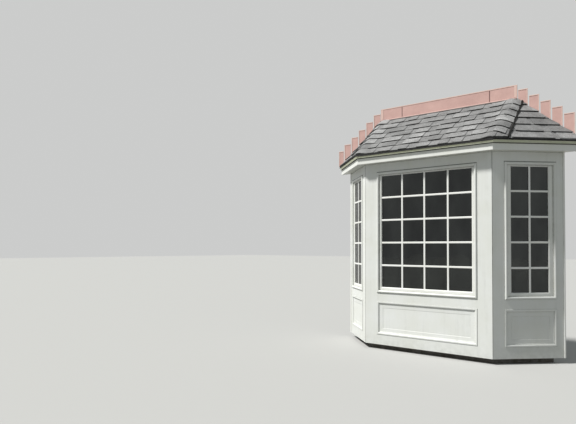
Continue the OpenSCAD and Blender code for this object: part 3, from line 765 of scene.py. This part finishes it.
def lay_tab(left, right, butt, head, under, butt_top, head_top, tone):
    """One tab laid flat: X along the eave, Y up the slope and Z out of it."""
    mesh = tab_shape.copy()
    for v in mesh.vertices:
        x, y, z = v.co
        top = butt_top + (head_top - butt_top) * y
        flare = tab_flare * (2 * round(x) - 1) * (z < -0.5)
        v.co = (left + (right - left) * x + flare, butt + (head - butt) * y, top + (top - under) * z)
    tones = mesh.attributes.new("tone", "FLOAT", "FACE")
    for face, each in zip(mesh.polygons, tones.data):
        on_top = tone if face.normal.z > 0.6 else flank_tone * tone
        each.value = edge_tone if abs(face.normal.y) > 0.5 else on_top
    laid = bpy.data.objects.new("tab", mesh)
    bpy.context.collection.objects.link(laid)
    return laid


head_lap, least_tab = 0.035, 0.012
backing_up, backing_top, backing_head, backing_tone = 0.0015, 0.0020, -0.0065, 0.9
tab_up, tab_shift, tab_lift, tab_head = 0.002, 0.002, 0.001, -0.005
batch_tones, tone_drift = (0.78, 0.92, 1.0, 1.08, 1.24), 0.05


def lay_courses(butts, top, start, end, tabs, gaps, thick_of, dice):
    """Courses of strip shingles from start to end: a thin backing with thicker tabs of uneven width on it."""
    laid = []
    for butt, next_butt in zip(butts, [*butts[1:], top]):
        head = min(next_butt + head_lap, top)
        backing = (-slab_deep, backing_top, backing_head, backing_tone)
        laid.append(lay_tab(start, end, butt + backing_up, head, *backing))
        x = start - dice.uniform(0.0, 0.2)
        while x < end:
            wide = dice.uniform(*tabs)
            step = dice.uniform(-tab_shift, tab_shift)
            left, right = max(x, start), min(x + wide, end)
            if right - left > least_tab:
                thick = dice.uniform(*thick_of)
                tone = dice.choice(batch_tones) * dice.uniform(1 - tone_drift, 1 + tone_drift)
                shape = (-slab_deep + tab_lift, thick, tab_head, tone)
                laid.append(lay_tab(left, right, butt + step + tab_up, head, *shape))
            x += wide + dice.uniform(*gaps)
    return laid


def reach_past(piece, point, away):
    """How far a piece lies past a plane, at its least and at its most."""
    past = [(v.co - Vector(point)).dot(Vector(away)) for v in piece.data.vertices]
    return min(past), max(past)


def trim(shingles, point, away):
    """Cuts the shingles that cross a plane, drops those that lie beyond it, and returns what is left."""
    kept = []
    for each in shingles:
        least, most = reach_past(each, point, away)
        if least > -0.0004:
            bpy.data.objects.remove(each)
            continue
        if most > 0.0001:
            cut(each, point, away)
        kept.append(each)
    return kept


side_long = (eave_end - hip_foot).length
side_high = (roof_top_z - eave_z) / side_up.z
side_butts = [0.0, 0.126, 0.251, 0.378, 0.503, 0.633]
side_start, side_short = -0.02, 0.002
side_tabs = (0.24, 0.50), (0.03, 0.10), (0.0095, 0.0125)  # widths, gaps and thicknesses
hip_plane = (hip_head - hip_foot).cross(front_normal + side_normal).normalized()
beyond_hip = hip_plane if hip_plane.x < 0 else -hip_plane
for side, where in ((1, "right"), (-1, "left")):
    dice = random.Random(57 + side)
    laid = lay_courses(side_butts, side_high, side_start, side_long, *side_tabs, dice)
    for each in laid:
        for v in each.data.vertices:
            v.co = hip_foot + side_along * v.co.x + side_up * v.co.y + side_normal * v.co.z
    laid = trim(laid, hip_foot, beyond_hip)
    laid = trim(laid, (0, -back_gap, 0), (0, 1, 0))
    laid = trim(laid, hip_foot, cant_out(1))
    laid = trim(laid, (0, 0, roof_top_z - side_short), (0, 0, 1))
    slope = joined("side_shingles_" + where, laid)
    to_its_side(slope, side)
    belongs(slope, "shingle", shingle, "shingles_" + where)

# ---- Front shingles, bent over the hips ------------------------------------------------------------------
# The front courses are laid first on the flat, then run on over both hips: warmed, bent round and nailed,
# rounded on top, and cut to one straight line on each side slope, where their thick edge throws a shadow.

hip_long = (hip_head - hip_foot).length
hip_axis = (hip_head - hip_foot).normalized()
to_front = front_normal.cross(hip_axis)
to_side = hip_axis.cross(side_normal)
bend_half, bend_high, bend_start = 0.050, 0.013, 0.150
cut_low, cut_high, run_on, front_short = 0.134, 0.080, 0.16, 0.012
hip_drift = hip_head.x - hip_foot.x
flat_foot = Vector((hip_foot.x, 0, 0))
flat_axis = Vector((hip_drift, math.sqrt(hip_long ** 2 - hip_drift ** 2), 0)).normalized()
flat_out = Vector((flat_axis.y, -flat_axis.x, 0))


def bend(flat):
    """Where a point of the flat front courses comes to lie, once they are bent round the right hip."""
    from_foot = Vector((flat.x, flat.y, 0)) - flat_foot
    along, across = from_foot.dot(flat_axis), from_foot.dot(flat_out)
    on_hip = hip_foot + hip_axis * along
    if across <= -bend_half:
        lift = bend_high * min(max((across + bend_start) / (bend_start - bend_half), 0), 1)
        return on_hip - to_front * across + front_normal * (lift + flat.z)
    if across >= bend_half:
        return on_hip + to_side * across + side_normal * (bend_high + flat.z)
    u = (across + bend_half) / (2 * bend_half)
    first = to_front * bend_half + front_normal * bend_high
    last = to_side * bend_half + side_normal * bend_high
    middle = (front_normal + side_normal) * (bend_high / (1 + front_normal.dot(side_normal)))
    out_of = (front_normal * (1 - u) + side_normal * u).normalized()
    return on_hip + first * (1 - u) ** 2 + middle * (2 * u * (1 - u)) + last * u ** 2 + out_of * flat.z


front_high = (roof_top_z - eave_z) / front_up.z - front_short
front_wide = hip_foot.x + run_on
front_butts = [0.0, 0.124, 0.250, 0.379, 0.508, 0.640, 0.775]
front_tabs = (0.10, 0.27), (0.05, 0.14), (0.008, 0.0115)
dice = random.Random(7)
laid = lay_courses(front_butts, front_high, -front_wide, front_wide, *front_tabs, dice)
bend_lines = (-bend_start, -0.100, -bend_half, -0.036, -0.024, -0.012, 0.0, 0.012, 0.024, 0.036, bend_half)
cut_foot = flat_foot + flat_out * cut_low
cut_run = flat_foot + flat_axis * hip_long + flat_out * cut_high - cut_foot
away = Vector((cut_run.y, -cut_run.x, 0)).normalized()
for side in (1, -1):
    mirror = Matrix.Scale(side, 4, (1, 0, 0))
    laid = trim(laid, mirror @ cut_foot, mirror @ away)
    for each in laid:
        for across in bend_lines:
            point, through = mirror @ (flat_foot + flat_out * across), mirror @ flat_out
            least, most = reach_past(each, point, through)
            if least < -0.0001 and most > 0.0001:
                cut(each, point, through, drop=False)
for each in laid:
    for v in each.data.vertices:
        side = -1 if v.co.x < 0 else 1
        bent = bend(Vector((abs(v.co.x), v.co.y, v.co.z)))
        v.co = (side * bent.x, bent.y, bent.z)
for side in (1, -1):
    laid = trim(laid, (side * hip_foot.x, hip_foot.y, hip_foot.z), cant_out(side))
laid = trim(laid, (0, eave_y + 0.0001, 0), (0, -1, 0))
laid = trim(laid, (0, -back_gap, 0), (0, 1, 0))
front = joined("front_shingles", laid)
only(front)
bpy.ops.object.shade_smooth_by_angle(angle=math.radians(28))
belongs(front, "shingle", shingle, "shingles_front", "hip_shingles_left", "hip_shingles_right")

# A bead of black roof cement is trowelled along the cut edge, and closes the step down to the side slope;
# its near-black colour is also painted shadow, standing in for the shade that the cut edge throws.
cement_wide, cement_high, cement_round = 0.017, 0.017, 0.007
cement_in, cement_down, cement_past, cement_short = 0.004, 0.006, 0.08, 0.004


def cement_and_shadow_colour(tree):
    return mottled(tree, (0.012, 0.012, 0.012, 1), (0.028, 0.027, 0.025, 1), 16.0, 0.3)


cement_and_shadow = surface(
    "Black roof cement and painted shadow", cement_and_shadow_colour, uneven(0.7, 0.9, 40), bumps(70, 4),
    lift=0.002, soft=0.001, Specular_IOR_Level=0.25,
)
cut_begin = hip_foot + to_side * cut_low
cut_finish = hip_foot + hip_axis * hip_long + to_side * cut_high
cut_long = (cut_finish - cut_begin).length
up_cut = (cut_finish - cut_begin).normalized()
out_cut = up_cut.cross(side_normal).normalized()
for side, name in ((1, "hip_cement_and_shadow_right"), (-1, "hip_cement_and_shadow_left")):
    low, high = (-cement_in, -cement_past, -cement_down), (cement_wide, cut_long + cement_past, cement_high)
    bead = block(name, low, high)
    ease(bead, lambda a, b: min(a.x, a.z, b.x, b.z) > 0.01, cement_round, 3)
    for v in bead.data.vertices:
        v.co = cut_begin + out_cut * v.co.x + up_cut * v.co.y + side_normal * v.co.z
    cut(bead, hip_foot, cant_out(1))
    cut(bead, (0, -back_gap, 0), (0, 1, 0))
    cut(bead, (0, 0, roof_top_z - cement_short), (0, 0, 1))
    to_its_side(bead, side)
    belongs(bead, "shingle", cement_and_shadow)

# ---- Apron flashing --------------------------------------------------------------------------------------
# One bent sheet covers the joint behind the top of the front slope, with its foot on the shingles.
# Faded reddish paint on metal, hemmed along the top, a dark strip of painted shade at the lap near each end,
# and darker towards the front edge of its foot, nearly black at that edge.


def faded_colour(tree):
    body = mottled(tree, (0.64, 0.41, 0.365, 1), (0.55, 0.345, 0.31, 1), 4.0, 0.05)
    # Darker the further the sheet reaches forward: grey, then nearly black at the front edge of its foot.
    depth = place_along(tree, 1)
    darker_to_front = tint(tree, spread(tree, depth, -0.006, -0.016), body, (0.20, 0.165, 0.155, 1))
    darker_to_front = tint(tree, spread(tree, depth, -0.017, -0.023), darker_to_front, (0.06, 0.05, 0.046, 1))
    return weathered_and_shaded(tree, darker_to_front, (0.16, 0.11, 0.10, 1), 0.8, 0.15, 0.0)


faded = surface("Faded painted sheet", faded_colour, uneven(0.45, 0.68, 12, 5), bumps(6, 4), 0.004, 0.0008)
finish_with(faded, "apron_flashing", "step_flashing_left", "step_flashing_right")


def hem_colour(tree):
    body = mottled(tree, (0.76, 0.55, 0.485, 1), (0.66, 0.45, 0.39, 1), 9.0, 0.05)
    return weathered_and_shaded(tree, body, (0.18, 0.12, 0.10, 1), 0.6, 0.1, 0.0)


hemmed = surface("Folded sheet edges", hem_colour, uneven(0.42, 0.6, 12, 5), bumps(30, 4), 0.001, 0.0008)
sheet_face, hem_proud, hem_tall, fold_round = -0.002, 0.0025, 0.012, 0.0008
end_fold, end_proud, end_wide, end_short, above_roof = 0.862, 0.002, 0.032, 0.001, 0.004
low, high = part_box("apron_flashing")
top_hem = block("fold", (low.x, sheet_face - hem_proud, high.z - hem_tall), (high.x, sheet_face, high.z))
ease(top_hem, lambda a, b: True, fold_round, 2)
folds = [top_hem]
for left in (end_fold, -end_fold - end_wide):
    foot = (left, sheet_face - end_proud, roof_top_z + above_roof)
    folds.append(block("fold", foot, (left + end_wide, sheet_face, high.z - end_short)))
    ease(folds[-1], lambda a, b: True, fold_round, 1)
belongs(joined("apron_folds", folds), "flashing", hemmed)


# Painted shade: each lap is a dark red strip, standing in for the shadow in the lapped seam.
def lap_colour(tree):
    return mottled(tree, (0.17, 0.075, 0.07, 1), (0.11, 0.055, 0.05, 1), 14.0, 0.1)


lapped = surface("Painted shade at sheet laps", lap_colour, uneven(0.55, 0.75, 30), bumps(40, 3), 0.0006, 0.0006)
lap_middle, lap_half, lap_proud, lap_deep, lap_round = 0.578, 0.005, 0.0036, 0.0015, 0.0015
laps = []
for x in (lap_middle, -lap_middle):
    foot = (x - lap_half, -lap_proud, roof_top_z + above_roof)
    laps.append(block("lap", foot, (x + lap_half, -lap_deep, high.z - hem_tall)))
    ease(laps[-1], lambda a, b: max(a.y, b.y) < -0.003 and abs(a.x - b.x) < 1e-5, lap_round, 2)
belongs(joined("apron_laps", laps), "flashing", lapped)

# ---- Step flashing hems ----------------------------------------------------------------------------------
# Each stepped sheet beside the sloping joint laps the next, with its top and its lower end folded back.
# The folds are the same sheet metal, doubled, and stand 3 mm proud, a little cleaner than the flats.

steps, step_start, step_pitch, step_gap, step_high, step_grow = 6, 0.9055, 0.121, 0.015, 0.113, 0.010
step_hem, step_proud, step_round, above_slope = 0.011, 0.003, 0.0012, 0.006


def slope_at_back(x):
    """Height of the side slope's surface at its back end."""
    return eave_z + (eave_out - (x - back_x) * math.sqrt(0.5)) * pitch_side


for side, where in ((1, "right"), (-1, "left")):
    folds = []
    for k in range(steps):
        start = step_start + k * step_pitch
        end = min(start + step_pitch - step_gap, eave_end.x)
        top = slope_at_back(start) + step_high + k * step_grow
        along_top = (start, end, top - step_hem, top)
        down_end = (end - step_hem, end, slope_at_back(end) + above_slope, top - step_hem)
        for left, right, bottom, above in (along_top, down_end):
            folds.append(block("fold", (left, sheet_face - step_proud, bottom), (right, sheet_face, above)))
            ease(folds[-1], lambda a, b: max(a.y, b.y) < -0.004, step_round, 2)
    hems = joined("step_hems_" + where, folds)
    to_its_side(hems, side)
    belongs(hems, "flashing", hemmed)

# ---- Room, light and camera ------------------------------------------------------------------------------
# A plain pale floor under an even pale surround, one broad soft lamp from the upper left front, and the
# camera low on the right, turned so that the front and the right side both show.


def seen_itself(tree):
    """1 where the camera sees a surface, also mirrored or through glass, and 0 for the light it gives."""
    ray = put(tree, "LightPath").outputs
    seen = reckon(tree, ray["Is Camera Ray"], ray["Is Glossy Ray"], "MAXIMUM")
    return reckon(tree, seen, ray["Is Transmission Ray"], "MAXIMUM")


bpy.ops.object.select_all(action="DESELECT")
bpy.ops.mesh.primitive_plane_add(size=120, location=(0, 0, 0))
ground = bpy.context.object
ground.name = ground.data.name = "studio_floor"
floor_paint = bpy.data.materials.new("Pale floor")
floor_paint.use_nodes = True
tree = floor_paint.node_tree
shader = tree.nodes["Principled BSDF"]
floor_tone = tint(tree, seen_itself(tree), (0.20, 0.20, 0.195, 1), (0.46, 0.46, 0.45, 1))
tree.links.new(floor_tone, shader.inputs["Base Color"])
shader.inputs["Roughness"].default_value = 0.9
shader.inputs["Specular IOR Level"].default_value = 0.1
ground.data.materials.append(floor_paint)

world = bpy.data.worlds.new("Studio")
bpy.context.scene.world = world
world.use_nodes = True
tree = world.node_tree
backdrop = tree.nodes["Background"]
surround = tint(tree, seen_itself(tree), (0.295, 0.32, 0.325, 1), (0.60, 0.605, 0.60, 1))
tree.links.new(surround, backdrop.inputs["Color"])
backdrop.inputs["Strength"].default_value = 1.0

lamp = bpy.data.lights.new("key", "SUN")
lamp.energy = 4.6
lamp.angle = math.radians(7)
lamp.color = (1.0, 0.985, 0.955)
key = bpy.data.objects.new("key", lamp)
bpy.context.collection.objects.link(key)
to_light = Vector((-0.403, -0.445, 0.799))
key.rotation_euler = to_light.to_track_quat("Z", "Y").to_euler()

lens = bpy.data.cameras.new("camera")
lens.sensor_width = 36
lens.lens = 33.122
lens.shift_y = 0.0437
camera = bpy.data.objects.new("camera", lens)
bpy.context.collection.objects.link(camera)
camera.location = (2.7189, -6.4495, 1.264)
camera.rotation_euler = (math.radians(91.12970), math.radians(-0.12298), math.radians(39.26077))
bpy.context.scene.camera = camera
bpy.context.scene.view_settings.view_transform = "Standard"
